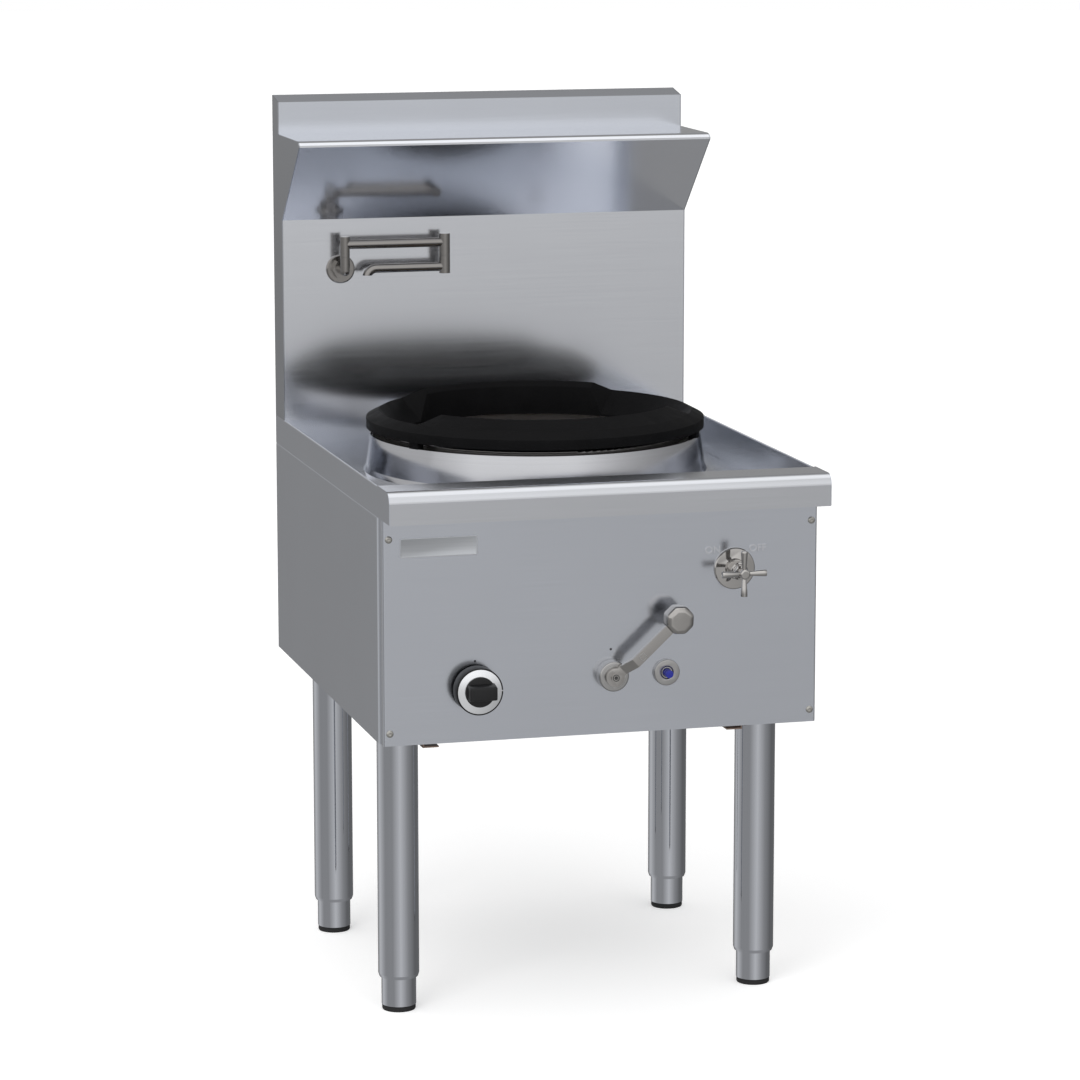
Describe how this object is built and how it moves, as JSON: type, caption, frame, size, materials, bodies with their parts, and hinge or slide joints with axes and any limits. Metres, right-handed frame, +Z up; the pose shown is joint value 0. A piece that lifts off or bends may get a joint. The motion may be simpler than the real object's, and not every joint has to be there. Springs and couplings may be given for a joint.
{
  "type": "wok range",
  "caption": "Stainless-steel single-burner wok range with cast wok ring, knee lever, splashback shelf and folding tap",
  "frame": {"origin": "on the floor, under the middle of the range's width and depth", "axes": "+X to the right as seen from the front, +Y to the back, +Z up"},
  "size_m": [0.65, 0.793, 1.2985],
  "materials": {
    "sheet": "satin",
    "panel": "satin",
    "polished": "polished",
    "tube": "satin",
    "chrome": "polished",
    "dark_steel": "satin",
    "zinc": "satin",
    "cast_iron": "matte",
    "grey_iron": "matte",
    "brass": "satin",
    "copper": "satin",
    "rubber": "matte",
    "black_plastic": "satin",
    "blue_plastic": "gloss",
    "dial": "satin",
    "lever": "satin",
    "fibre": "matte"
  },
  "bodies": {
    "range": {"side_panel_left": "sheet", "side_panel_right": "sheet", "front_panel": "panel", "back_panel": "sheet", "base_tray": "sheet", "base_rails": "dark_steel", "leg_plates": "zinc", "leg_bolts": "tube", "leg_front_left": "tube", "leg_front_right": "tube", "leg_rear_left": "tube", "leg_rear_right": "tube", "hob_floor": "sheet", "hob_front": "sheet", "hob_sides": "sheet", "chimney_collar": "polished", "chamber_pan": "dark_steel", "insulation": "fibre", "fire_bowl": "dark_steel", "burner_frame": "dark_steel", "burner_body": "grey_iron", "burner_jets": "brass", "mixing_tube": "grey_iron", "pilot_set": "brass", "gas_pipes": "dark_steel", "gas_valve": "brass", "knee_valve": "brass", "water_pipes": "copper", "water_valve": "brass", "waste_pipe": "sheet", "splash_cheeks": "sheet", "splash_front": "panel", "splash_rear": "sheet", "tap_base": "dark_steel", "badge_plate": "dark_steel", "panel_screws": "chrome", "lever_flange": "lever", "button_bezel": "lever", "igniter_body": "black_plastic", "valve_flange": "chrome"},
    "gas_spindle": {"gas_spindle": "tube"},
    "gas_knob": {"knob_skirt": "black_plastic", "dial_ring": "dial", "knob_grip": "black_plastic"},
    "knee_lever": {"knee_lever": "lever", "knee_spindle": "lever"},
    "igniter_button": {"igniter_button": "blue_plastic"},
    "water_handle": {"water_handle": "chrome"},
    "tap_arm": {"tap_arm": "dark_steel"},
    "tap_spout": {"tap_spout": "dark_steel"},
    "wok_ring": {"wok_ring": "cast_iron"},
    "foot_front_left": {"foot_front_left": "tube", "pad_front_left": "rubber"},
    "foot_front_right": {"foot_front_right": "tube", "pad_front_right": "rubber"},
    "foot_rear_left": {"foot_rear_left": "tube", "pad_rear_left": "rubber"},
    "foot_rear_right": {"foot_rear_right": "tube", "pad_rear_right": "rubber"}
  },
  "joints": [
    {"name": "gas_spindle_turn", "type": "hinge", "parent": "range", "child": "gas_spindle", "pos_m": [-0.1886, -0.3415, 0.503], "axis": [0, -1, 0], "range_deg": [0, 90]},
    {"name": "gas_knob_push", "type": "slide", "parent": "gas_spindle", "child": "gas_knob", "axis": [0, 1, 0], "range_m": [0, 0.004], "stiffness_N_per_m": 3000, "springref_m": -0.002},
    {"name": "knee_lever_turn", "type": "hinge", "parent": "range", "child": "knee_lever", "pos_m": [0.0123, -0.3415, 0.512], "axis": [0, -1, 0], "range_deg": [0, 90]},
    {"name": "igniter_push", "type": "slide", "parent": "range", "child": "igniter_button", "axis": [0, 1, 0], "range_m": [0, 0.008], "stiffness_N_per_m": 800, "springref_m": -0.004},
    {"name": "water_handle_turn", "type": "hinge", "parent": "range", "child": "water_handle", "pos_m": [0.197, -0.3415, 0.658], "axis": [0, -1, 0], "range_deg": [0, 90]},
    {"name": "tap_arm_swing", "type": "hinge", "parent": "range", "child": "tap_arm", "pos_m": [-0.2338, 0.2945, 1.032], "axis": [0, 0, -1], "range_deg": [0, 165]},
    {"name": "tap_spout_swing", "type": "hinge", "parent": "tap_arm", "child": "tap_spout", "pos_m": [-0.0754, 0.2945, 1.035], "axis": [0, 0, 1], "range_deg": [0, 180]},
    {"name": "wok_ring_lift", "type": "slide", "parent": "range", "child": "wok_ring", "axis": [0, 0, 1], "range_m": [0, 0.06]},
    {"name": "foot_front_left_screw", "type": "slide", "parent": "range", "child": "foot_front_left", "axis": [0, 0, -1], "range_m": [0, 0.04]},
    {"name": "foot_front_right_screw", "type": "slide", "parent": "range", "child": "foot_front_right", "axis": [0, 0, -1], "range_m": [0, 0.04]},
    {"name": "foot_rear_left_screw", "type": "slide", "parent": "range", "child": "foot_rear_left", "axis": [0, 0, -1], "range_m": [0, 0.04]},
    {"name": "foot_rear_right_screw", "type": "slide", "parent": "range", "child": "foot_rear_right", "axis": [0, 0, -1], "range_m": [0, 0.04]}
  ]
}
